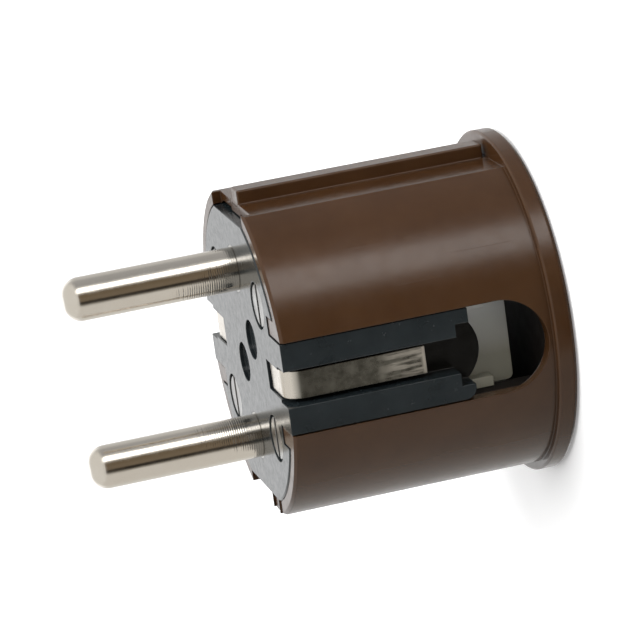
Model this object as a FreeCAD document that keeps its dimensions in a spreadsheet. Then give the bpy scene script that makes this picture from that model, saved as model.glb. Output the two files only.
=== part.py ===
# Flat rewirable type F mains plug: a moulded cup with a rim flange, a contact carrier with two
# round pins and two side earth contacts, their terminals, and the cord clamp behind the outlet.
# Frame in millimetres: +Z along the pins, back face at z = 0, pins on the X axis, earth on Y.
import math
import os

import FreeCAD
import Part
import Sketcher

doc = FreeCAD.newDocument("type_f_plug")
sheet = doc.addObject("Spreadsheet::Sheet", "dims")
nodes = []


class Size:
    """A length held both as a number and as an expression on the sheet."""

    def __init__(self, value, text):
        self.value = value
        self.text = text

    def __add__(self, other):
        other = as_size(other)
        return Size(self.value + other.value, f"({self.text} + {other.text})")

    def __sub__(self, other):
        other = as_size(other)
        return Size(self.value - other.value, f"({self.text} - {other.text})")

    def __mul__(self, factor):
        return Size(self.value * factor, f"({self.text} * {factor})")

    def __neg__(self):
        return Size(-self.value, f"(-1 * {self.text})")


def as_size(item):
    if isinstance(item, Size):
        return item
    return Size(float(item), str(float(item)))


def dim(alias, value):
    """Write one driving dimension on the sheet and return it as a size."""
    dim.row += 1
    sheet.set(f"A{dim.row}", alias)
    sheet.set(f"B{dim.row}", str(value))
    sheet.setAlias(f"B{dim.row}", alias)
    return Size(float(value), f"dims.{alias}")


dim.row = 0
zero = as_size(0)

# Housing
shell_diameter = dim("shell_diameter", 36.5)
shell_wall = dim("shell_wall", 3.0)
shell_height = dim("shell_height", 29.2)
flange_overhang = dim("flange_overhang", 0.85)
flange_thickness = dim("flange_thickness", 2.1)
flange_edge = dim("flange_edge", 0.4)
rim_edge = dim("rim_edge", 0.3)
rim_wall = dim("rim_wall", 1.5)
floor_thickness = dim("floor_thickness", 2.4)
slot_width = dim("slot_width", 10.2)
slot_end_gap = dim("slot_end_gap", 0.5)
slot_rib_width = dim("slot_rib_width", 1.9)
slot_rib_depth = dim("slot_rib_depth", 2.4)
slot_skin = dim("slot_skin", 1.6)
flat_depth = dim("flat_depth", 1.55)
flat_wall = dim("flat_wall", 0.9)
groove_width = dim("groove_width", 4.2)
groove_depth = dim("groove_depth", 1.3)
groove_wall = dim("groove_wall", 0.65)
land_set_back = dim("land_set_back", 1.0)
boss_diameter = dim("boss_diameter", 7.0)

# Contact carrier
carrier_clearance = dim("carrier_clearance", 0.15)
carrier_thickness = dim("carrier_thickness", 5.0)
carrier_proud = dim("carrier_proud", 0.1)
carrier_edge = dim("carrier_edge", 0.15)
chord_gap = dim("chord_gap", 0.1)
tongue_gap = dim("tongue_gap", 0.3)
tongue_inset = dim("tongue_inset", 0.9)
rail_gap = dim("rail_gap", 4.0)
rail_step_width = dim("rail_step_width", 1.4)
rail_step_length = dim("rail_step_length", 1.5)
rail_round = dim("rail_round", 1.2)
web_depth = dim("web_depth", 2.05)
web_thickness = dim("web_thickness", 1.4)
web_overhang = dim("web_overhang", 2.05)
well_diameter = dim("well_diameter", 5.2)
well_depth = dim("well_depth", 2.0)
screw_inset = dim("screw_inset", 3.48)
post_diameter = dim("post_diameter", 5.2)
mark_diameter = dim("mark_diameter", 4.4)
mark_depth = dim("mark_depth", 0.5)
mark_step = dim("mark_step", 3.9)

# Pins, screws and plates
pin_diameter = dim("pin_diameter", 4.8)
pin_length = dim("pin_length", 19.0)
pin_spacing = dim("pin_spacing", 19.0)
pin_tip_radius = dim("pin_tip_radius", 1.9)
pin_root_diameter = dim("pin_root_diameter", 5.2)
pin_fit = dim("pin_fit", 0.02)
collar_diameter = dim("collar_diameter", 6.0)
collar_thickness = dim("collar_thickness", 1.8)
stem_diameter = dim("stem_diameter", 5.4)
stem_length = dim("stem_length", 6.0)
thread_diameter = dim("thread_diameter", 2.6)
thread_fit = dim("thread_fit", 0.05)
thread_reach = dim("thread_reach", 4.5)
head_diameter = dim("head_diameter", 5.0)
head_height = dim("head_height", 1.9)
head_slot_width = dim("head_slot_width", 0.8)
head_slot_depth = dim("head_slot_depth", 0.9)
plate_width = dim("plate_width", 5.6)
plate_thickness = dim("plate_thickness", 1.0)
through_fit = dim("through_fit", 0.2)
carrier_screw_reach = dim("carrier_screw_reach", 12.0)
screw_end_room = dim("screw_end_room", 1.0)
screw_point = dim("screw_point", 0.4)
head_edge = dim("head_edge", 0.25)

# Earth parts
strip_width = dim("strip_width", 3.0)
strip_thickness = dim("strip_thickness", 0.8)
strip_length = dim("strip_length", 15.4)
strip_inset = dim("strip_inset", 1.95)
strip_drop = dim("strip_drop", 0.25)
strip_bend = dim("strip_bend", 2.2)
strip_root_gap = dim("strip_root_gap", 2.2)
strip_foot = dim("strip_foot", 4.2)
strip_slack = dim("strip_slack", 0.15)
rivet_diameter = dim("rivet_diameter", 2.2)
rivet_head = dim("rivet_head", 3.2)
rivet_head_height = dim("rivet_head_height", 0.7)
rivet_inset = dim("rivet_inset", 1.9)
bush_diameter = dim("bush_diameter", 5.2)
bush_length = dim("bush_length", 4.3)

# Cord clamp
bar_end_wall = dim("bar_end_wall", 1.8)
bar_room = dim("bar_room", 0.25)
bar_back_wall = dim("bar_back_wall", 1.75)
bar_bottom = dim("bar_bottom", 5.4)
bar_top = dim("bar_top", 10.6)
bar_step_height = dim("bar_step_height", 2.7)
bar_corner = dim("bar_corner", 0.7)
bar_cut_length = dim("bar_cut_length", 1.6)
bar_cut_depth = dim("bar_cut_depth", 1.0)
bar_trough = dim("bar_trough", 2.6)
bar_lug_width = dim("bar_lug_width", 1.1)
bar_lug_reach = dim("bar_lug_reach", 1.7)
bar_lug_height = dim("bar_lug_height", 2.5)
nut_width = dim("nut_width", 4.2)
nut_height = dim("nut_height", 2.2)
nut_room = dim("nut_room", 0.2)

# Levels, radii and places worked out from the driving dimensions
shell_radius = shell_diameter * 0.5
flange_radius = shell_radius + flange_overhang
cavity_radius = shell_radius - shell_wall
rebate_radius = shell_radius - rim_wall
beyond = flange_radius + shell_wall
rim_level = flange_thickness + shell_height
face_level = rim_level + carrier_proud
seat_level = face_level - carrier_thickness
slot_half = slot_width * 0.5
slot_centre = flange_thickness + slot_end_gap + slot_half
slot_rib_reach = cavity_radius - slot_rib_depth
pin_radius = pin_diameter * 0.5
pin_place = pin_spacing * 0.5
flat_half = shell_radius - flat_depth
flat_inner = flat_half - flat_wall
groove_half = groove_width * 0.5
groove_floor = flat_half - groove_depth
backing_inner = groove_floor - groove_wall
backing_half = groove_half + groove_wall
screw_turn = math.radians(51.0)
screw_across = (cavity_radius - screw_inset) * math.cos(screw_turn)
screw_back = (cavity_radius - screw_inset) * math.sin(screw_turn)
thread_radius = thread_diameter * 0.5
web_inner = cavity_radius - web_depth
web_outer = web_inner + web_thickness
tongue_half = slot_half - carrier_clearance
tongue_low = bar_top + tongue_gap
tongue_length = face_level - tongue_low
tongue_outer = shell_radius - tongue_inset
strip_half = strip_width * 0.5
strip_outer = shell_radius - strip_inset
strip_root = web_inner - strip_root_gap - strip_thickness
strip_top = face_level - strip_drop
strip_low = strip_top - strip_length
rivet_place = strip_root - rivet_inset
stem_level = seat_level - collar_thickness - stem_length
bridge_top = seat_level - strip_thickness
bridge_low = bridge_top - strip_thickness
bar_front = slot_rib_reach - bar_room
bar_back = screw_back - bar_back_wall
bar_depth = bar_front - bar_back
bar_half_length = screw_across + bar_end_wall
bar_step_start = screw_across - nut_width * 0.5 - nut_room


def new_body(label):
    body = doc.addObject("PartDesign::Body", label)
    body.Label = label
    nodes.append(body)
    return body


def place(body, x, y, z):
    """Bind a body's Placement to sizes."""
    body.Placement = FreeCAD.Placement(FreeCAD.Vector(x.value, y.value, z.value), FreeCAD.Rotation())
    for axis, size in (("x", x), ("y", y), ("z", z)):
        body.setExpression(f"Placement.Base.{axis}", size.text)


def new_sketch(body, name, role, offset=zero):
    """Attach a sketch to one of its own body's origin planes, moved along the plane's normal."""
    sketch = body.newObject("Sketcher::SketchObject", f"{body.Name}_{name}")
    plane = [item for item in body.Origin.OriginFeatures if item.Role == role][0]
    sketch.AttachmentSupport = [(plane, "")]
    sketch.MapMode = "FlatFace"
    sketch.AttachmentOffset = FreeCAD.Placement(FreeCAD.Vector(0, 0, offset.value), FreeCAD.Rotation())
    sketch.setExpression("AttachmentOffset.Base.z", offset.text)
    return sketch


def hold(sketch, kind, geometry, point, size):
    """Hold one coordinate of a sketch point at a signed size from the sketch's origin."""
    if size is zero:
        axis = -2 if kind == "DistanceX" else -1
        sketch.addConstraint(Sketcher.Constraint("PointOnObject", geometry, point, axis))
        return
    if size.value > 0:
        index = sketch.addConstraint(Sketcher.Constraint(kind, -1, 1, geometry, point, size.value))
        sketch.setExpression(f"Constraints[{index}]", size.text)
        return
    index = sketch.addConstraint(Sketcher.Constraint(kind, geometry, point, -1, 1, -size.value))
    sketch.setExpression(f"Constraints[{index}]", (-size).text)


def polygon(sketch, corners):
    """Add a closed outline whose corners are all bound to sizes."""
    points = [FreeCAD.Vector(x.value, y.value, 0) for x, y in corners]
    first = sketch.GeometryCount
    for index, point in enumerate(points):
        sketch.addGeometry(Part.LineSegment(point, points[(index + 1) % len(points)]), False)
    for index, corner in enumerate(corners):
        after = first + (index + 1) % len(points)
        sketch.addConstraint(Sketcher.Constraint("Coincident", first + index, 2, after, 1))
        hold(sketch, "DistanceX", first + index, 1, corner[0])
        hold(sketch, "DistanceY", first + index, 1, corner[1])


def rectangle(sketch, left, right, low, high):
    polygon(sketch, [(left, low), (right, low), (right, high), (left, high)])


def circle(sketch, x, y, diameter):
    centre = FreeCAD.Vector(x.value, y.value, 0)
    index = sketch.addGeometry(Part.Circle(centre, FreeCAD.Vector(0, 0, 1), diameter.value / 2), False)
    hold(sketch, "DistanceX", index, 3, x)
    hold(sketch, "DistanceY", index, 3, y)
    rule = sketch.addConstraint(Sketcher.Constraint("Diameter", index, diameter.value))
    sketch.setExpression(f"Constraints[{rule}]", diameter.text)


def extrude(kind, sketch, length):
    """Pad along the sketch's normal, or pocket against it, by a bound length."""
    body = sketch.getParentGeoFeatureGroup()
    feature = body.newObject(f"PartDesign::{kind}", f"{sketch.Name}_{kind.lower()}")
    feature.Profile = sketch
    feature.Length = length.value
    feature.setExpression("Length", length.text)
    return feature


def revolve(sketch):
    body = sketch.getParentGeoFeatureGroup()
    feature = body.newObject("PartDesign::Revolution", f"{sketch.Name}_turned")
    feature.Profile = sketch
    feature.ReferenceAxis = (sketch, ["V_Axis"])
    feature.Angle = 360
    return feature


def round_edges(body, name, test, radius):
    """Fillet the edges of a body's last feature that pass a test on their middle point."""
    doc.recompute()
    base = body.Tip
    picked = []
    for index, edge in enumerate(base.Shape.Edges):
        middle = edge.valueAt((edge.FirstParameter + edge.LastParameter) / 2)
        if test(edge, middle):
            picked.append(f"Edge{index + 1}")
    feature = body.newObject("PartDesign::Fillet", f"{body.Name}_{name}")
    feature.Base = (base, picked)
    feature.Radius = radius.value
    feature.setExpression("Radius", radius.text)
    return feature


def mirrored(x, y):
    """The four places that share a distance from both middle planes."""
    return [(x, y), (-x, y), (-x, -y), (x, -y)]


def make_housing():
    """Moulded cup: flange, guide flats and grooves, two U slots, and the bosses inside."""
    body = new_body("housing")
    turned = new_sketch(body, "cup", "XZ_Plane")
    polygon(turned, [
        (zero, zero),
        (flange_radius - flange_edge, zero),
        (flange_radius, flange_edge),
        (flange_radius, flange_thickness - flange_edge * 0.5),
        (flange_radius - flange_edge * 0.5, flange_thickness),
        (shell_radius, flange_thickness),
        (shell_radius, rim_level - rim_edge),
        (shell_radius - rim_edge, rim_level),
        (rebate_radius, rim_level),
        (rebate_radius, seat_level),
        (cavity_radius, seat_level),
        (cavity_radius, floor_thickness),
        (zero, floor_thickness),
    ])
    revolve(turned)

    # Backing for the guide grooves, then the flats, the grooves and the lands, set back from the rim
    backing = new_sketch(body, "backing", "XY_Plane", floor_thickness)
    overlap = flat_half - flat_wall * 0.5
    rectangle(backing, backing_inner, overlap, -backing_half, backing_half)
    rectangle(backing, -overlap, -backing_inner, -backing_half, backing_half)
    extrude("Pad", backing, seat_level - floor_thickness)
    flat_walls = new_sketch(body, "flat_walls", "XY_Plane", seat_level)
    wall_half = rebate_radius * 0.4
    rectangle(flat_walls, flat_inner, flat_half, -wall_half, wall_half)
    rectangle(flat_walls, -flat_half, -flat_inner, -wall_half, wall_half)
    extrude("Pad", flat_walls, rim_level - seat_level)
    flats = new_sketch(body, "flats", "XY_Plane", rim_level)
    rectangle(flats, flat_half, beyond, -beyond, beyond)
    rectangle(flats, -beyond, -flat_half, -beyond, beyond)
    extrude("Pocket", flats, shell_height)
    grooves = new_sketch(body, "grooves", "XY_Plane", rim_level)
    rectangle(grooves, groove_floor, beyond, -groove_half, groove_half)
    rectangle(grooves, -beyond, -groove_floor, -groove_half, groove_half)
    extrude("Pocket", grooves, shell_height)
    set_back = new_sketch(body, "set_back", "XY_Plane", rim_level)
    rectangle(set_back, groove_floor, beyond, -wall_half, wall_half)
    rectangle(set_back, -beyond, -groove_floor, -wall_half, wall_half)
    extrude("Pocket", set_back, land_set_back)

    # U slots through both side walls: straight sides open at the rim, and a round end
    slot_sides = new_sketch(body, "slot_sides", "XZ_Plane", beyond)
    rectangle(slot_sides, -slot_half, slot_half, slot_centre, rim_level + shell_wall)
    extrude("Pocket", slot_sides, beyond * 2)
    slot_end = new_sketch(body, "slot_end", "XZ_Plane", beyond)
    circle(slot_end, zero, slot_centre, slot_width)
    extrude("Pocket", slot_end, beyond * 2)
    slot_thin = new_sketch(body, "slot_thin", "XY_Plane", slot_centre)
    thin_out = shell_radius - slot_skin
    for side in (1, -1):
        rectangle(slot_thin, -slot_half, slot_half, slot_rib_reach * side, thin_out * side)
    extrude("Pocket", slot_thin, slot_centre - floor_thickness)

    # Ribs that stiffen the slot sides, and the bosses for the carrier screws
    ribs = new_sketch(body, "ribs", "XY_Plane", floor_thickness)
    rib_out = rebate_radius - slot_rib_depth * 0.2
    for side in (1, -1):
        near = slot_rib_reach * side
        far = rib_out * side
        rectangle(ribs, slot_half, slot_half + slot_rib_width, near, far)
        rectangle(ribs, -slot_half - slot_rib_width, -slot_half, near, far)
    extrude("Pad", ribs, rim_level - floor_thickness)
    bosses = new_sketch(body, "bosses", "XY_Plane", floor_thickness)
    circle(bosses, screw_across, screw_back, boss_diameter)
    circle(bosses, -screw_across, screw_back, boss_diameter)
    extrude("Pad", bosses, seat_level - floor_thickness)
    pilots = new_sketch(body, "pilots", "XY_Plane", seat_level)
    pilot = thread_diameter + thread_fit * 2
    circle(pilots, screw_across, screw_back, pilot)
    circle(pilots, -screw_across, screw_back, pilot)
    extrude("Pocket", pilots, carrier_screw_reach)


def make_carrier():
    """Moulded insert: round plate, a tongue with two rails on each earth side, and clamp posts."""
    body = new_body("contact_carrier")
    plate_radius = rebate_radius - carrier_clearance
    turned = new_sketch(body, "plate", "XZ_Plane")
    polygon(turned, [
        (zero, seat_level),
        (plate_radius, seat_level),
        (plate_radius, face_level - carrier_edge),
        (plate_radius - carrier_edge, face_level),
        (zero, face_level),
    ])
    revolve(turned)

    # Chords level with the floors of the housing's grooves, then notches for its slot ribs
    chords = new_sketch(body, "chords", "XY_Plane", face_level)
    chord = groove_floor - chord_gap
    rectangle(chords, chord, beyond, -beyond, beyond)
    rectangle(chords, -beyond, -chord, -beyond, beyond)
    extrude("Pocket", chords, carrier_thickness)
    notches = new_sketch(body, "notches", "XY_Plane", face_level)
    half = tongue_half
    rib_edge = slot_half + slot_rib_width + carrier_clearance
    rib_reach = slot_rib_reach - carrier_clearance
    gap_half = rail_gap * 0.5
    for side in (1, -1):
        rectangle(notches, -gap_half, gap_half, web_outer * side, beyond * side)
        rectangle(notches, half, rib_edge, rib_reach * side, beyond * side)
        rectangle(notches, -rib_edge, -half, rib_reach * side, beyond * side)
    extrude("Pocket", notches, carrier_thickness)

    # Tongues fill the slots: two rails with a recessed web between, its end rounded
    rails = new_sketch(body, "rails", "XY_Plane", tongue_low)
    for side in (1, -1):
        rectangle(rails, gap_half, half, web_inner * side, tongue_outer * side)
        rectangle(rails, -half, -gap_half, web_inner * side, tongue_outer * side)
    extrude("Pad", rails, tongue_length)
    web = new_sketch(body, "web", "XY_Plane", tongue_low)
    rib_lap = web_thickness * 0.36
    for side in (1, -1):
        rectangle(web, -half + rib_lap, half - rib_lap, web_inner * side, web_outer * side)
    extrude("Pad", web, tongue_length - strip_drop - strip_thickness - strip_slack)
    for side, name in ((1, "web_end_near"), (-1, "web_end_far")):
        web_end = new_sketch(body, name, "XZ_Plane", web_outer if side > 0 else -web_inner)
        circle(web_end, zero, tongue_low + half - web_overhang, half * 2 - rib_lap * 2)
        extrude("Pad", web_end, web_thickness).Reversed = True
    for side, name in ((1, "rail_steps_near"), (-1, "rail_steps_far")):
        rail_steps = new_sketch(body, name, "XZ_Plane", beyond if side > 0 else -web_outer)
        step_edge = gap_half + rail_step_width
        step_top = tongue_low + rail_step_length
        rectangle(rail_steps, gap_half, step_edge, tongue_low, step_top)
        rectangle(rail_steps, -step_edge, -gap_half, tongue_low, step_top)
        extrude("Pocket", rail_steps, beyond - web_outer)
    round_edges(body, "rail_ends", lambda edge, middle: abs(middle.z - tongue_low.value) < 0.01
                and abs(abs(middle.x) - half.value) < 0.01 and middle.x * middle.y > 0, rail_round)

    # Slots for the earth strips, and the front of the web lowered under their bends
    strips = new_sketch(body, "strip_slots", "XY_Plane", face_level)
    slack_half = strip_half + strip_slack
    for side in (1, -1):
        low = strip_root - strip_slack * 3
        rectangle(strips, -slack_half, slack_half, low * side, (strip_root + strip_thickness + strip_slack) * side)
    extrude("Pocket", strips, carrier_thickness)
    lowered = new_sketch(body, "lowered", "XY_Plane", face_level)
    for side in (1, -1):
        low = strip_root + strip_thickness * 0.5
        rectangle(lowered, -slack_half, slack_half, low * side, beyond * side)
    extrude("Pocket", lowered, strip_drop + strip_thickness + strip_slack)

    # Posts that the clamp bar seats on, and every round hole and well
    posts = new_sketch(body, "posts", "XY_Plane", bar_top)
    circle(posts, screw_across, -screw_back, post_diameter)
    circle(posts, -screw_across, -screw_back, post_diameter)
    extrude("Pad", posts, seat_level - bar_top)
    wells = new_sketch(body, "wells", "XY_Plane", face_level)
    for x, y in mirrored(screw_across, screw_back):
        circle(wells, x, y, well_diameter)
    extrude("Pocket", wells, well_depth)
    passages = new_sketch(body, "passages", "XY_Plane", face_level)
    for x, y in mirrored(screw_across, screw_back):
        circle(passages, x, y, thread_diameter + through_fit * 2)
    extrude("Pocket", passages, face_level - bar_top)
    pin_holes = new_sketch(body, "pin_holes", "XY_Plane", face_level)
    circle(pin_holes, pin_place, zero, pin_root_diameter + pin_fit * 2)
    circle(pin_holes, -pin_place, zero, pin_root_diameter + pin_fit * 2)
    extrude("Pocket", pin_holes, carrier_thickness)
    bush_hole = new_sketch(body, "bush_hole", "XY_Plane", bridge_top + bush_length)
    circle(bush_hole, zero, zero, bush_diameter + pin_fit * 2)
    extrude("Pocket", bush_hole, bush_length)
    marks = new_sketch(body, "marks", "XY_Plane", face_level)
    for across, along in ((0.6, -0.95), (-0.36, 0.36)):
        circle(marks, mark_step * across, mark_step * along, mark_diameter)
    extrude("Pocket", marks, mark_depth)


def make_pin(label, side):
    """Turned contact pin: round nose, shank, root in the carrier, collar, and a bored stem."""
    body = new_body(label)
    stem_low = stem_level - seat_level
    top = carrier_thickness + pin_length
    bore = thread_radius + thread_fit
    turned = new_sketch(body, "shank", "XZ_Plane")
    polygon(turned, [
        (bore, stem_low),
        (stem_diameter * 0.5, stem_low),
        (stem_diameter * 0.5, -collar_thickness),
        (collar_diameter * 0.5, -collar_thickness),
        (collar_diameter * 0.5, zero),
        (pin_root_diameter * 0.5, zero),
        (pin_root_diameter * 0.5, carrier_thickness),
        (pin_radius, carrier_thickness),
        (pin_radius, top),
        (zero, top),
        (zero, stem_low + thread_reach),
        (bore, stem_low + thread_reach),
    ])
    revolve(turned)
    round_edges(body, "nose", lambda edge, middle: middle.z > top.value - 0.01, pin_tip_radius)
    place(body, pin_place * side, zero, seat_level)


def make_plate(label, x, top):
    """Square clamp plate with a clearance hole, pulled up against a terminal by its screw."""
    body = new_body(label)
    outline = new_sketch(body, "outline", "XY_Plane")
    half = plate_width * 0.5
    rectangle(outline, -half, half, -half, half)
    circle(outline, zero, zero, thread_diameter + through_fit * 2)
    extrude("Pad", outline, plate_thickness)
    round_edges(body, "corners", lambda edge, middle: edge.Length < plate_thickness.value + 0.01
                and abs(middle.x) > half.value * 0.6, plate_thickness)
    place(body, x, zero, top - plate_thickness)


def make_screw(label, x, y, head_top, reach, points_up):
    """Slotted cheese-head screw; the head is under the shank where it points up."""
    body = new_body(label)
    way = 1 if points_up else -1
    turned = new_sketch(body, "turned", "XZ_Plane")
    head_radius = head_diameter * 0.5
    polygon(turned, [
        (zero, zero),
        (head_radius - head_edge, zero),
        (head_radius, head_edge * way),
        (head_radius, head_height * way),
        (thread_radius, head_height * way),
        (thread_radius, (head_height + reach - screw_point) * way),
        (thread_radius - screw_point, (head_height + reach) * way),
        (zero, (head_height + reach) * way),
    ])
    revolve(turned)
    slot = new_sketch(body, "slot", "XY_Plane")
    slot_side = head_slot_width * 0.5
    rectangle(slot, -head_diameter, head_diameter, -slot_side, slot_side)
    extrude("Pocket", slot, head_slot_depth).Reversed = points_up
    place(body, x, y, head_top)


def make_earth_contact(label, side):
    """Folded earth strip: foot under the carrier, up through it, over the front, down the side."""
    body = new_body(label)
    inner = strip_root
    outer = strip_root + strip_thickness
    leg_in = strip_outer - strip_thickness
    profile = new_sketch(body, "profile", "YZ_Plane", -strip_half)
    polygon(profile, [(y * side, z) for y, z in (
        (inner - strip_foot, bridge_top),
        (outer, bridge_top),
        (outer, strip_top - strip_thickness),
        (leg_in, strip_top - strip_thickness),
        (leg_in, strip_low),
        (strip_outer, strip_low),
        (strip_outer, strip_top),
        (inner, strip_top),
        (inner, seat_level),
        (inner - strip_foot, seat_level),
    )])
    extrude("Pad", profile, strip_width)
    top = strip_top.value
    across = strip_outer.value
    round_edges(body, "outer_bend", lambda edge, middle: abs(middle.x) < 0.01
                and middle.z > top - 0.01 and abs(middle.y) > across - 0.01, strip_bend)
    round_edges(body, "inner_bend", lambda edge, middle: abs(middle.x) < 0.01
                and abs(middle.z - top + strip_thickness.value) < 0.01
                and abs(abs(middle.y) - leg_in.value) < 0.01, strip_bend - strip_thickness)
    hole = new_sketch(body, "rivet_hole", "XY_Plane", seat_level)
    circle(hole, zero, rivet_place * side, rivet_diameter)
    extrude("Pocket", hole, strip_thickness)


def make_bridge():
    """Strip that joins the two earth contacts under the carrier and takes the earth terminal."""
    body = new_body("earth_bridge")
    outline = new_sketch(body, "outline", "XY_Plane", bridge_low)
    reach = strip_root
    rectangle(outline, -strip_half, strip_half, -reach, reach)
    extrude("Pad", outline, strip_thickness)
    tab = new_sketch(body, "tab", "XY_Plane", bridge_low)
    circle(tab, zero, zero, plate_width)
    extrude("Pad", tab, strip_thickness)
    holes = new_sketch(body, "holes", "XY_Plane", bridge_top)
    circle(holes, zero, zero, thread_diameter + through_fit * 2)
    circle(holes, zero, rivet_place, rivet_diameter)
    circle(holes, zero, -rivet_place, rivet_diameter)
    extrude("Pocket", holes, strip_thickness)


def make_rivet(label, side):
    """Rivet through a contact's foot and the bridge, domed head at the back."""
    body = new_body(label)
    turned = new_sketch(body, "turned", "XZ_Plane")
    polygon(turned, [
        (zero, -rivet_head_height),
        (rivet_head * 0.35, -rivet_head_height),
        (rivet_head * 0.5, zero),
        (rivet_diameter * 0.5, zero),
        (rivet_diameter * 0.5, strip_thickness * 2),
        (zero, strip_thickness * 2),
    ])
    revolve(turned)
    place(body, zero, rivet_place * side, bridge_low)


def make_bush():
    """Brass bush in the carrier that the earth terminal screw threads into."""
    body = new_body("earth_bush")
    outline = new_sketch(body, "outline", "XY_Plane", bridge_top)
    circle(outline, zero, zero, bush_diameter)
    circle(outline, zero, zero, thread_diameter + thread_fit * 2)
    extrude("Pad", outline, bush_length)


def make_clamp_bar():
    """Cord clamp bar: stepped ends for the nuts, lugs that key in the slot, and a trough for the cord."""
    body = new_body("cord_clamp_bar")
    outline = new_sketch(body, "outline", "XY_Plane", bar_bottom)
    polygon(outline, [
        (-bar_half_length, -bar_back),
        (-bar_half_length, bar_cut_depth - bar_front),
        (bar_cut_length - bar_half_length, -bar_front),
        (bar_half_length - bar_cut_length, -bar_front),
        (bar_half_length, bar_cut_depth - bar_front),
        (bar_half_length, -bar_back),
    ])
    extrude("Pad", outline, bar_top - bar_bottom)
    steps = new_sketch(body, "steps", "XZ_Plane", bar_front + bar_corner)
    step = bar_bottom + bar_step_height
    past = bar_half_length + bar_corner
    rectangle(steps, bar_step_start, past, bar_bottom - bar_corner, step)
    rectangle(steps, -past, -bar_step_start, bar_bottom - bar_corner, step)
    extrude("Pocket", steps, bar_depth + bar_corner * 2)
    round_edges(body, "feet", lambda edge, middle: abs(middle.z - bar_bottom.value) < 0.01
                and abs(abs(middle.x) - bar_step_start.value) < 0.01, bar_corner)
    lugs = new_sketch(body, "lugs", "XY_Plane", bar_top - bar_lug_height)
    lug_inner = tongue_half - bar_lug_width
    lug_front = -bar_front - bar_lug_reach
    lug_root = bar_cut_depth - bar_front
    rectangle(lugs, lug_inner, tongue_half, lug_front, lug_root)
    rectangle(lugs, -tongue_half, -lug_inner, lug_front, lug_root)
    extrude("Pad", lugs, bar_lug_height)
    trough = new_sketch(body, "trough", "XZ_Plane", bar_front)
    circle(trough, zero, bar_top + bar_trough * 0.4, bar_trough * 2)
    extrude("Pocket", trough, bar_depth)
    holes = new_sketch(body, "holes", "XY_Plane", bar_top)
    circle(holes, screw_across, -screw_back, thread_diameter + through_fit * 2)
    circle(holes, -screw_across, -screw_back, thread_diameter + through_fit * 2)
    extrude("Pocket", holes, bar_top - bar_bottom)


def make_nut(label, side):
    """Square nut under a stepped end of the clamp bar."""
    body = new_body(label)
    outline = new_sketch(body, "outline", "XY_Plane")
    half = nut_width * 0.5
    rectangle(outline, -half, half, -half, half)
    circle(outline, zero, zero, thread_diameter + thread_fit * 2)
    extrude("Pad", outline, nut_height)
    place(body, screw_across * side, -screw_back, bar_bottom + bar_step_height - nut_height)


make_housing()
make_carrier()
for wire, side in (("line", 1), ("neutral", -1)):
    make_pin(f"{wire}_pin", side)
    make_plate(f"{wire}_clamp_plate", pin_place * side, stem_level)
    screw_low = stem_level - plate_thickness - head_height
    make_screw(f"{wire}_terminal_screw", pin_place * side, zero, screw_low, thread_reach, True)
for place_name, side in (("near", -1), ("far", 1)):
    make_earth_contact(f"earth_contact_{place_name}", side)
    make_rivet(f"earth_rivet_{place_name}", side)
make_bridge()
make_bush()
make_plate("earth_clamp_plate", zero, bridge_low)
earth_low = bridge_low - plate_thickness - head_height
earth_reach = plate_thickness + strip_thickness + bush_length - screw_end_room
make_screw("earth_terminal_screw", zero, zero, earth_low, earth_reach, True)
well_floor = face_level - well_depth
make_clamp_bar()
for number, side in ((1, 1), (2, -1)):
    seat = well_floor + head_height
    grip = well_floor - bar_bottom - bar_step_height + nut_height
    make_screw(f"clamp_screw_{number}", screw_across * side, -screw_back, seat, grip, False)
    make_nut(f"clamp_nut_{number}", side)
    hold_down = carrier_thickness - well_depth + carrier_screw_reach - screw_end_room
    make_screw(f"carrier_screw_{number}", screw_across * side, screw_back, seat, hold_down, False)

doc.recompute()
for item in doc.Objects:
    bad = [word for word in item.State if word in ("Invalid", "Error")]
    if bad:
        raise RuntimeError(f"{item.Name} is {bad}")
os.makedirs("parts", exist_ok=True)
for node in nodes:
    if node.Shape.isNull() or not node.Shape.isValid():
        raise RuntimeError(f"{node.Label} has no valid shape")
    print(node.Label, len(node.Shape.Solids), round(node.Shape.Volume, 1))
    node.Shape.exportStep(f"parts/{node.Label}.step")
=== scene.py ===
import math

import bmesh
import bpy
from mathutils import Matrix, Vector


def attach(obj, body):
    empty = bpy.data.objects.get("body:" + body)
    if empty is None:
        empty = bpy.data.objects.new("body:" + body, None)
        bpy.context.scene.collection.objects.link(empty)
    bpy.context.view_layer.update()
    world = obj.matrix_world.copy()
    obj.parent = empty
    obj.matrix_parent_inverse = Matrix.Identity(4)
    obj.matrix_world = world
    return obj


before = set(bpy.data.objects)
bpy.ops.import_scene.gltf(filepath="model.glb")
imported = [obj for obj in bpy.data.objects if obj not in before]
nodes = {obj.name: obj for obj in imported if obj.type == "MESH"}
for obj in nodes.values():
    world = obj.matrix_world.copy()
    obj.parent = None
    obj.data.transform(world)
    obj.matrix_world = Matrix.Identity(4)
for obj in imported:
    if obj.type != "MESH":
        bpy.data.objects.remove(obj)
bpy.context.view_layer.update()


# Housing: one brown thermoset moulding with a glossy skin, pressed in a steel mould.
# Its edges are broken a little by tumbling, and handling has left fine scuffs on the skin.

def new_finish(name):
    """An empty material with its shader, ready for the nodes of one finish."""
    finish = bpy.data.materials.new(name)
    finish.use_nodes = True
    tree = finish.node_tree
    return finish, tree, tree.nodes["Principled BSDF"]


def add(tree, kind, values=None, **settings):
    """Adds a node, sets its own settings and then the values of its sockets."""
    node = tree.nodes.new(kind)
    for key, value in settings.items():
        setattr(node, key, value)
    for key, value in (values or {}).items():
        node.inputs[key].default_value = value
    return node


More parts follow.
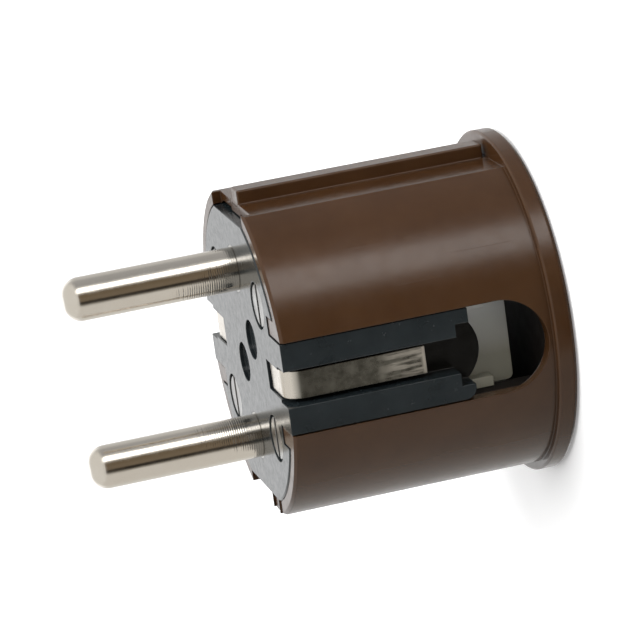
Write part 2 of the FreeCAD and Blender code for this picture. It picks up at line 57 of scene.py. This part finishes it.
def place_of(tree, scale=(1.0, 1.0, 1.0), turn=(0.0, 0.0, 0.0)):
    """The place on the piece, stretched and turned for a pattern with a direction."""
    source = add(tree, "ShaderNodeTexCoord")
    mapping = add(tree, "ShaderNodeMapping", {"Scale": scale, "Rotation": turn})
    tree.links.new(source.outputs["Object"], mapping.inputs["Vector"])
    return mapping.outputs["Vector"]


def grain(tree, size, detail=2.0, rough=0.5, scale=(1.0, 1.0, 1.0), turn=(0.0, 0.0, 0.0)):
    """Noise whose blotches are about size metres across."""
    noise = add(tree, "ShaderNodeTexNoise",
                {"Scale": 1.0 / size, "Detail": detail, "Roughness": rough})
    tree.links.new(place_of(tree, scale, turn), noise.inputs["Vector"])
    return noise.outputs["Fac"]


def between(tree, value, low, high, out_low=0.0, out_high=1.0):
    """Spreads a value from one range to another and stops at both ends."""
    spread = add(tree, "ShaderNodeMapRange",
                 {"From Min": low, "From Max": high, "To Min": out_low, "To Max": out_high})
    tree.links.new(value, spread.inputs["Value"])
    return spread.outputs["Result"]


def tint(tree, share, first, second):
    """Mixes two colours, each a tuple or a socket, by a share."""
    mix = add(tree, "ShaderNodeMix", data_type="RGBA")
    for socket, colour in zip([s for s in mix.inputs if s.type == "RGBA"], (first, second)):
        if isinstance(colour, tuple):
            socket.default_value = (*colour, 1.0)
        else:
            tree.links.new(colour, socket)
    tree.links.new(share, mix.inputs["Factor"])
    return [s for s in mix.outputs if s.type == "RGBA"][0]


def combine(tree, operation, first, second=0.0):
    """Works out one number from one or two, each a socket or a plain value."""
    sum_node = add(tree, "ShaderNodeMath", operation=operation)
    for socket, value in zip(sum_node.inputs, (first, second)):
        if isinstance(value, float):
            socket.default_value = value
        else:
            tree.links.new(value, socket)
    return sum_node.outputs[0]


def axes_of(tree):
    """The three coordinates of the place on the piece."""
    split = add(tree, "ShaderNodeSeparateXYZ")
    tree.links.new(place_of(tree), split.inputs["Vector"])
    return split.outputs["X"], split.outputs["Y"], split.outputs["Z"]


def reach_of(tree):
    """How far the place is from the plug's own axis."""
    length = add(tree, "ShaderNodeVectorMath", operation="LENGTH")
    tree.links.new(place_of(tree, (1.0, 1.0, 0.0)), length.inputs[0])
    return length.outputs["Value"]


def relief(tree, height, depth, normal):
    """Turns a height into a slope of the surface, in metres."""
    bump = add(tree, "ShaderNodeBump", {"Strength": 1.0, "Distance": depth})
    tree.links.new(height, bump.inputs["Height"])
    tree.links.new(normal, bump.inputs["Normal"])
    return bump.outputs["Normal"]


def broken_edge(tree, radius):
    """A small round on every edge, as tumbling leaves it; the radius may vary over the piece."""
    edge = add(tree, "ShaderNodeBevel", samples=6)
    if isinstance(radius, float):
        edge.inputs["Radius"].default_value = radius
    else:
        tree.links.new(radius, edge.inputs["Radius"])
    return edge.outputs["Normal"]


def finish_node(name, finish):
    """Gives a CAD node one finish all over."""
    for slot in nodes[name].material_slots:
        slot.material = finish


noise_span = (0.3, 0.7)
full_to_none = (1.0, 0.0)
brown_deep = (0.0405, 0.0172, 0.0062)
brown_warm = (0.0520, 0.0230, 0.0088)
brown_painted_shade = (0.0035, 0.0020, 0.0012)
inside_reach = (0.0163, 0.0168)
inside_top = (0.0255, 0.0262)
inside_dullness = 0.6
haze_span = (0.3, 0.75)
brown_rough = (0.15, 0.27)
brown_shine = 0.34
housing_edge = 0.0002
scuff_stretch = (1.0, 1.0, 0.06)
scuff_turn = (0.5, 0.35, 0.0)
scuff_span = (0.70, 0.78)
scuff_depth = 0.000005
skin_depth = 0.000006
brown, tree, shader = new_finish("brown_moulding")
cloud = grain(tree, 0.006, detail=3.0)
skin_shade = tint(tree, between(tree, cloud, *noise_span), brown_deep, brown_warm)
# Painted shade: the hollow inside the wall and below the carrier is painted almost black.
deep_in = between(tree, reach_of(tree), *inside_reach, *full_to_none)
under_seat = between(tree, axes_of(tree)[2], *inside_top, *full_to_none)
inside = combine(tree, "MULTIPLY", deep_in, under_seat)
tree.links.new(tint(tree, inside, skin_shade, brown_painted_shade), shader.inputs["Base Color"])
haze = grain(tree, 0.0016, detail=4.0, rough=0.6)
outer_rough = between(tree, haze, *haze_span, *brown_rough)
inner_rough = combine(tree, "MULTIPLY", inside, inside_dullness)
tree.links.new(combine(tree, "ADD", outer_rough, inner_rough), shader.inputs["Roughness"])
shader.inputs["Specular IOR Level"].default_value = brown_shine
skin = grain(tree, 0.0011, detail=2.0)
edge = broken_edge(tree, housing_edge)
scuff = grain(tree, 0.0009, detail=1.0, scale=scuff_stretch, turn=scuff_turn)
worn = relief(tree, between(tree, scuff, *scuff_span), scuff_depth, edge)
tree.links.new(relief(tree, skin, skin_depth, worn), shader.inputs["Normal"])
finish_node("housing", brown)


# Guide ribs: one raised strip along the middle of each flat, of the housing's own moulding.
# An inlay fills the groove in the solid up to the flat, and the rib stands on the inlay.
# The ribs start behind the rim and stop short of the flange, and their edges are rounded.

flat_level = 0.0167
groove_level = 0.01542
groove_side = 0.00209
rib_level = 0.0182
rib_side = 0.0014
rib_sink = 0.0004
rib_ends = (0.0025, 0.03025)
rib_edge = 0.00022
inlay_ends = (0.00212, 0.03028)
inlay_edge = 0.00002


def strip_block(mesh, side, levels, half, ends, edge):
    """A bar along the plug with rounded edges, on one side of the housing."""
    block = bmesh.ops.create_cube(mesh, size=1.0)["verts"]
    for corner in block:
        corner.co.x = side * (levels[0] if corner.co.x < 0.0 else levels[1])
        corner.co.y *= 2.0 * half
        corner.co.z = ends[0] if corner.co.z < 0.0 else ends[1]
    lines = list({line for corner in block for line in corner.link_edges})
    bmesh.ops.bevel(mesh, geom=lines, offset=edge, segments=3, profile=0.5, affect="EDGES")


ribs = bmesh.new()
for side in (1.0, -1.0):
    strip_block(ribs, side, (groove_level, flat_level), groove_side, inlay_ends, inlay_edge)
    strip_block(ribs, side, (flat_level - rib_sink, rib_level), rib_side, rib_ends, rib_edge)
bmesh.ops.recalc_face_normals(ribs, faces=ribs.faces)
rib_mesh = bpy.data.meshes.new("guide_ribs")
ribs.to_mesh(rib_mesh)
ribs.free()
rib_mesh.materials.append(brown)
guide_ribs = bpy.data.objects.new("guide_ribs", rib_mesh)
bpy.context.collection.objects.link(guide_ribs)
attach(guide_ribs, "root")


# Contact carrier: a dark thermoset block that holds the pins and the earth strips.
# It drops into the open front of the housing and its rails run down the slots.

dark_deep = (0.0095, 0.0135, 0.0155)
dark_pale = (0.0150, 0.0200, 0.0225)
recess_painted_shade = (0.0012, 0.0014, 0.0014)
recess_reach = (0.0148, 0.0153)
recess_top = (0.0290, 0.0300)
dark_rough = (0.17, 0.28)
carrier_edge = 0.00015
carrier_skin_depth = 0.000005
dark, tree, shader = new_finish("dark_moulding")
cloud = grain(tree, 0.0035, detail=4.0)
dark_shade = tint(tree, between(tree, cloud, *noise_span), dark_deep, dark_pale)
_, along, level = axes_of(tree)
# Painted shade: the carrier below its face and inside the rails' outer faces is painted almost black.
depth_in = between(tree, combine(tree, "ABSOLUTE", along), *recess_reach, *full_to_none)
below_face = between(tree, level, *recess_top, *full_to_none)
recess = combine(tree, "MULTIPLY", depth_in, below_face)
tree.links.new(tint(tree, recess, dark_shade, recess_painted_shade), shader.inputs["Base Color"])
haze = grain(tree, 0.0009, detail=4.0, rough=0.65)
tree.links.new(between(tree, haze, *noise_span, *dark_rough), shader.inputs["Roughness"])
edge = broken_edge(tree, carrier_edge)
tree.links.new(relief(tree, haze, carrier_skin_depth, edge), shader.inputs["Normal"])
finish_node("contact_carrier", dark)


# Line and neutral pins: turned brass with a nickel coat, round nose, collar under the face.
# The tool has left fine rings all along, and the rings are coarser near the root.

nickel_warm = (0.66, 0.61, 0.54)
nickel_pale = (0.72, 0.68, 0.62)
root_shade = (0.20, 0.19, 0.17)
pin_place = 0.0095
collar_reach = (0.002403, 0.00241)
root_top = (0.03144, 0.03148)
ring_pitch = 0.00025
ring_drift = 2.2
ring_depth = 0.0000052
uneven_scale = 2100.0
uneven_share = (0.25, 1.0)
coarse_start = (0.0330, 0.0336)
coarse_end = (0.0375, 0.0397)
coarse_share = 0.75
faint_share = 0.25
nose_levels = (0.0460, 0.0470)
nose_edge = (0.00002, 0.0005)
smear_depth = 0.00001
pin_rough = (0.12, 0.2)
pin_nickel, tree, shader = new_finish("pin_nickel")
across, along, level = axes_of(tree)
cloud = grain(tree, 0.003, detail=3.0)
plate = tint(tree, cloud, nickel_warm, nickel_pale)
off_axis = combine(tree, "SUBTRACT", combine(tree, "ABSOLUTE", across), pin_place)
squares = combine(tree, "ADD", combine(tree, "POWER", off_axis, 2.0),
                  combine(tree, "POWER", along, 2.0))
collar = between(tree, combine(tree, "SQRT", squares), *collar_reach)
root = combine(tree, "MAXIMUM", collar, between(tree, level, *root_top, *full_to_none))
tree.links.new(tint(tree, root, plate, root_shade), shader.inputs["Base Color"])
shader.inputs["Metallic"].default_value = 1.0
drift = grain(tree, 0.0011, detail=1.0)
turn = combine(tree, "ADD", combine(tree, "MULTIPLY", level, 2.0 * math.pi / ring_pitch),
               combine(tree, "MULTIPLY", drift, ring_drift))
wave = combine(tree, "SINE", turn)
uneven = add(tree, "ShaderNodeTexNoise", {"Scale": uneven_scale, "Detail": 2.0}, noise_dimensions="1D")
tree.links.new(level, uneven.inputs["W"])
ring = combine(tree, "MULTIPLY", wave,
               between(tree, uneven.outputs["Fac"], *noise_span, *uneven_share))
smear = grain(tree, 0.0022, detail=2.0)
zone = combine(tree, "MULTIPLY", between(tree, level, *coarse_start),
               between(tree, level, *coarse_end, *full_to_none))
strength = combine(tree, "ADD", combine(tree, "MULTIPLY", zone, coarse_share), faint_share)
edge = broken_edge(tree, between(tree, level, *nose_levels, *nose_edge))
cut = relief(tree, combine(tree, "MULTIPLY", ring, strength), ring_depth, edge)
tree.links.new(relief(tree, smear, smear_depth, cut), shader.inputs["Normal"])
tree.links.new(between(tree, smear, *noise_span, *pin_rough), shader.inputs["Roughness"])
for name in ("line_pin", "neutral_pin"):
    finish_node(name, pin_nickel)


# Earth contacts: two spring strips of plated brass, bent over the carrier and riveted.
# A socket's earth springs have rubbed the lower end of the flats bright. The rest of the flats is
# painted dark and blotched as a painted dark reflection, darker towards the bend.

painted_reflection_dark = (0.21, 0.205, 0.18)
painted_reflection_mid = (0.48, 0.47, 0.42)
rubbed_bright = (0.84, 0.80, 0.73)
blotch_span = (0.25, 0.75)
dark_reflection_levels = (0.0215, 0.0285)
dark_reflection_share = (0.25, 0.85)
bend_levels = (0.0295, 0.0304)
streak_stretch = (1.0, 1.0, 0.09)
streak_span = (0.42, 0.58)
rub_start = (0.0166, 0.0180)
rub_share = (1.0, 0.75)
rub_end = (0.0192, 0.0212)
strip_end = (0.01600, 0.01630)
strip_rough = (0.20, 0.34)
rubbed_rough = 0.22
strip_edge = 0.00012
score_depth = 0.00001
blotch_depth = 0.000004
strip, tree, shader = new_finish("rubbed_nickel")
level = axes_of(tree)[2]
cloud = grain(tree, 0.0025, detail=3.0)
plain_tone = tint(tree, cloud, nickel_warm, nickel_pale)
blotch = grain(tree, 0.0012, detail=4.0, rough=0.65)
# Painted dark reflection: the flats below the bend are painted dark with blotches, darker towards the
# bend.
dark_tone = tint(tree, between(tree, blotch, *blotch_span), painted_reflection_dark, painted_reflection_mid)
dark_tone = tint(tree, between(tree, level, *dark_reflection_levels, *dark_reflection_share), dark_tone, painted_reflection_dark)
leg = tint(tree, between(tree, level, *bend_levels), dark_tone, plain_tone)
streak = grain(tree, 0.00042, detail=3.0, rough=0.6, scale=streak_stretch)
rub_zone = combine(tree, "MULTIPLY", between(tree, level, *rub_start, *rub_share),
                   between(tree, level, *rub_end, *full_to_none))
rubbed = combine(tree, "MULTIPLY", rub_zone, between(tree, streak, *streak_span))
rubbed = combine(tree, "MAXIMUM", rubbed, between(tree, level, *strip_end, *full_to_none))
tree.links.new(tint(tree, rubbed, leg, rubbed_bright), shader.inputs["Base Color"])
shader.inputs["Metallic"].default_value = 1.0
smooth = between(tree, blotch, *noise_span, *strip_rough)
scratched = combine(tree, "MULTIPLY", rubbed, rubbed_rough)
tree.links.new(combine(tree, "ADD", smooth, scratched), shader.inputs["Roughness"])
edge = broken_edge(tree, strip_edge)
scored = relief(tree, combine(tree, "MULTIPLY", streak, rub_zone), score_depth, edge)
tree.links.new(relief(tree, blotch, blotch_depth, scored), shader.inputs["Normal"])
for name in ("earth_contact_near", "earth_contact_far"):
    finish_node(name, strip)


# Terminal brass: bridge, bush and rivets of the earth path, left bare inside the plug.
# The brass is stamped and turned, with a dull skin from the air.

metal_edge = 0.0001


def plain_metal(name, size, dark_tone, bright, rough, depth):
    """Metal with a cloudy colour, an uneven gloss and a fine skin."""
    finish, tree, shader = new_finish(name)
    cloud = grain(tree, size, detail=4.0)
    tree.links.new(tint(tree, cloud, dark_tone, bright), shader.inputs["Base Color"])
    shader.inputs["Metallic"].default_value = 1.0
    tree.links.new(between(tree, cloud, *noise_span, *rough), shader.inputs["Roughness"])
    edge = broken_edge(tree, metal_edge)
    tree.links.new(relief(tree, cloud, depth, edge), shader.inputs["Normal"])
    return finish


brass_dull = (0.55, 0.38, 0.16)
brass_bright = (0.66, 0.48, 0.24)
brass = plain_metal("plain_brass", 0.002, brass_dull, brass_bright, (0.26, 0.42), 0.000008)
for name in ("earth_bridge", "earth_bush", "earth_rivet_near", "earth_rivet_far"):
    finish_node(name, brass)


# Steel hardware: clamp plates, terminal screws, carrier screws, clamp screws and nuts.
# All are zinc-plated steel, with slotted cheese heads on the screws.

steel_dull = (0.36, 0.36, 0.355)
steel_bright = (0.46, 0.46, 0.45)
steel = plain_metal("plated_steel", 0.0016, steel_dull, steel_bright, (0.24, 0.4), 0.000006)
steel_pieces = []
for wire in ("line", "neutral", "earth"):
    steel_pieces += [f"{wire}_clamp_plate", f"{wire}_terminal_screw"]
for number in (1, 2):
    steel_pieces += [f"clamp_screw_{number}", f"clamp_nut_{number}", f"carrier_screw_{number}"]
for name in steel_pieces:
    finish_node(name, steel)


# Cord clamp bar: a white moulding behind the slot, pulled down by two long screws.
# It is unfilled plastic with a soft, slightly uneven surface. Its white is painted grey as painted
# shade inside the plug, and a painted reflection of the brown housing darkens it towards the -X end.

white_shaded_low = (0.37, 0.37, 0.345)
white_shaded_high = (0.44, 0.44, 0.415)
white_brown_reflection = (0.21, 0.20, 0.155)
brown_reflection_span = (-0.002, 0.003)
white_rough = (0.38, 0.52)
bar_edge = 0.00015
bar_skin_depth = 0.00001
white, tree, shader = new_finish("white_moulding")
cloud = grain(tree, 0.003, detail=3.0)
plain_tone = tint(tree, cloud, white_shaded_low, white_shaded_high)
brown_reflection_share = between(tree, axes_of(tree)[0], *brown_reflection_span, *full_to_none)
tree.links.new(tint(tree, brown_reflection_share, plain_tone, white_brown_reflection), shader.inputs["Base Color"])
tree.links.new(between(tree, cloud, *noise_span, *white_rough), shader.inputs["Roughness"])
edge = broken_edge(tree, bar_edge)
tree.links.new(relief(tree, cloud, bar_skin_depth, edge), shader.inputs["Normal"])
finish_node("cord_clamp_bar", white)


# Studio: a pale paper floor just under the plug, two soft lamps and a tent round the set.
# The tent is dark on the camera's side with one bright strip, so the gloss has shape.

floor_half = 30.0
floor_drop = 0.0002
floor_lift = 0.22
floor_corners = [(-floor_half, -floor_half, 0.0), (floor_half, -floor_half, 0.0),
                 (floor_half, floor_half, 0.0), (-floor_half, floor_half, 0.0)]
floor_mesh = bpy.data.meshes.new("studio_floor")
floor_mesh.from_pydata(floor_corners, [], [(0, 1, 2, 3)])
floor = bpy.data.objects.new("studio_floor", floor_mesh)
bpy.context.collection.objects.link(floor)
floor.location.z = -floor_drop
floor.visible_glossy = False
paper, tree, shader = new_finish("floor_paper")
fibre = grain(tree, 0.02, detail=3.0)
tree.links.new(tint(tree, fibre, (0.93, 0.93, 0.93), (0.95, 0.95, 0.95)), shader.inputs["Base Color"])
shader.inputs["Roughness"].default_value = 0.9
shader.inputs["Specular IOR Level"].default_value = 0.0
lift = add(tree, "ShaderNodeEmission", {"Color": (1.0, 1.0, 1.0, 1.0)})
seen = add(tree, "ShaderNodeLightPath")
glow = between(tree, seen.outputs["Is Camera Ray"], 0.0, 1.0, 0.0, floor_lift)
tree.links.new(glow, lift.inputs["Strength"])
both = add(tree, "ShaderNodeAddShader")
tree.links.new(shader.outputs[0], both.inputs[0])
tree.links.new(lift.outputs[0], both.inputs[1])
tree.links.new(both.outputs[0], tree.nodes["Material Output"].inputs["Surface"])
floor_mesh.materials.append(paper)

world = bpy.data.worlds.new("studio_tent")
bpy.context.scene.world = world
world.use_nodes = True
tree = world.node_tree
tree.nodes.clear()
out = add(tree, "ShaderNodeOutputWorld")
coord = add(tree, "ShaderNodeTexCoord")
axes = add(tree, "ShaderNodeSeparateXYZ")
tree.links.new(coord.outputs["Generated"], axes.inputs["Vector"])
bearing = combine(tree, "ARCTAN2", axes.outputs["Y"], axes.outputs["X"])
round_share = between(tree, bearing, -math.pi, math.pi)
tent = add(tree, "ShaderNodeValToRGB")
tent.color_ramp.interpolation = "EASE"
peak = 4.4
cream = (0.74, 0.72, 0.68)
# Each row is a bearing in degrees and the light that comes from there.
tent_levels = ((-180, *cream), (-119, *cream), (-112, 0.30, 0.28, 0.24),
               (-105, 0.035, 0.03, 0.025), (-97, 0.03, 0.025, 0.02),
               (-89, 0.21, 0.165, 0.115), (-58, 0.17, 0.13, 0.085), (-48, 0.5, 0.48, 0.45),
               (-37, peak, 4.36, 4.3), (-27, peak, 4.37, 4.32), (-18, 0.7, 0.7, 0.7),
               (-6, 0.42, 0.42, 0.42), (26, 0.45, 0.45, 0.45), (50, 0.65, 0.65, 0.64),
               (105, 1.0, 1.0, 1.0), (150, 0.80, 0.79, 0.76), (180, *cream))
stops = tent.color_ramp.elements
while len(stops) < len(tent_levels):
    stops.new(0.5)
for stop, (angle, *light) in zip(stops, tent_levels):
    stop.position = (angle + 180.0) / 360.0
    stop.color = (*[channel / peak for channel in light], 1.0)
tree.links.new(round_share, tent.inputs["Fac"])


def glow_of(strength, colour=(1.0, 1.0, 1.0)):
    """A light of one colour from every side."""
    return add(tree, "ShaderNodeBackground", {"Color": (*colour, 1.0), "Strength": strength})


def blend_light(share, first, second):
    """Goes from one light to another by a share."""
    blend = add(tree, "ShaderNodeMixShader")
    tree.links.new(share, blend.inputs[0])
    tree.links.new(first.outputs[0], blend.inputs[1])
    tree.links.new(second.outputs[0], blend.inputs[2])
    return blend


tent_light = glow_of(peak)
tree.links.new(tent.outputs["Color"], tent_light.inputs["Color"])
haze_light = glow_of(1.35)
sky_light = glow_of(0.85, (1.0, 0.985, 0.95))
under_light = glow_of(0.22, (1.0, 0.95, 0.9))
ambient = glow_of(0.40)
backdrop = glow_of(1.0)
haze_bearing = math.radians(105.0)
haze_spread = (0.62, 0.86)
haze_heights = (0.02, 0.16)
under_heights = (-0.55, -0.38)
sky_heights = (0.3, 0.5)
height = axes.outputs["Z"]
low_wall = blend_light(between(tree, height, *under_heights), under_light, tent_light)
behind = add(tree, "ShaderNodeVectorMath", operation="DOT_PRODUCT")
behind.inputs[1].default_value = (math.cos(haze_bearing), math.sin(haze_bearing), 0.0)
tree.links.new(coord.outputs["Generated"], behind.inputs[0])
haze_share = combine(tree, "MULTIPLY", between(tree, behind.outputs["Value"], *haze_spread),
                     between(tree, height, *haze_heights))
mid_wall = blend_light(haze_share, low_wall, haze_light)
gloss_mix = blend_light(between(tree, height, *sky_heights), mid_wall, sky_light)
path = add(tree, "ShaderNodeLightPath")
soft_mix = blend_light(path.outputs["Is Glossy Ray"], ambient, gloss_mix)
seen_mix = blend_light(path.outputs["Is Camera Ray"], soft_mix, backdrop)
tree.links.new(seen_mix.outputs[0], out.inputs["Surface"])

lamp_aim = Vector((0.0, 0.0, 0.02))


def looking(spot, aim):
    """A place with its own -Z turned towards a point."""
    towards = (Vector(aim) - Vector(spot)).to_track_quat("-Z", "Y")
    return Matrix.Translation(spot) @ towards.to_matrix().to_4x4()


def soft_lamp(name, spot, size, power):
    """A square soft lamp that looks at the middle of the plug."""
    lamp = bpy.data.lights.new(name, "AREA")
    lamp.shape = "SQUARE"
    lamp.size = size
    lamp.energy = power
    holder = bpy.data.objects.new(name, lamp)
    bpy.context.collection.objects.link(holder)
    holder.matrix_world = looking(spot, lamp_aim)
    holder.visible_glossy = False


soft_lamp("key_lamp", (0.50, -0.22, 0.62), 0.8, 8.5)
soft_lamp("rear_lamp", (0.10, 0.50, 0.70), 0.6, 3.5)


# Camera: a long lens at the plug's front quarter, rolled so that the plug lies on its side.
# Its place, aim and roll were fitted to the photograph by the standard sizes of the pins.

camera_place = (0.10498, -0.36559, 0.10696)
camera_aim = (0.00168, 0.00088, 0.02254)
camera_roll = math.radians(-101.413)
camera = bpy.data.cameras.new("camera")
camera.sensor_width = 36.0
camera.lens = 200.5
camera.clip_start = 0.01
camera.clip_end = 200.0
eye = bpy.data.objects.new("camera", camera)
bpy.context.collection.objects.link(eye)
eye.matrix_world = looking(camera_place, camera_aim) @ Matrix.Rotation(camera_roll, 4, "Z")
bpy.context.scene.camera = eye
bpy.context.scene.view_settings.view_transform = "Standard"
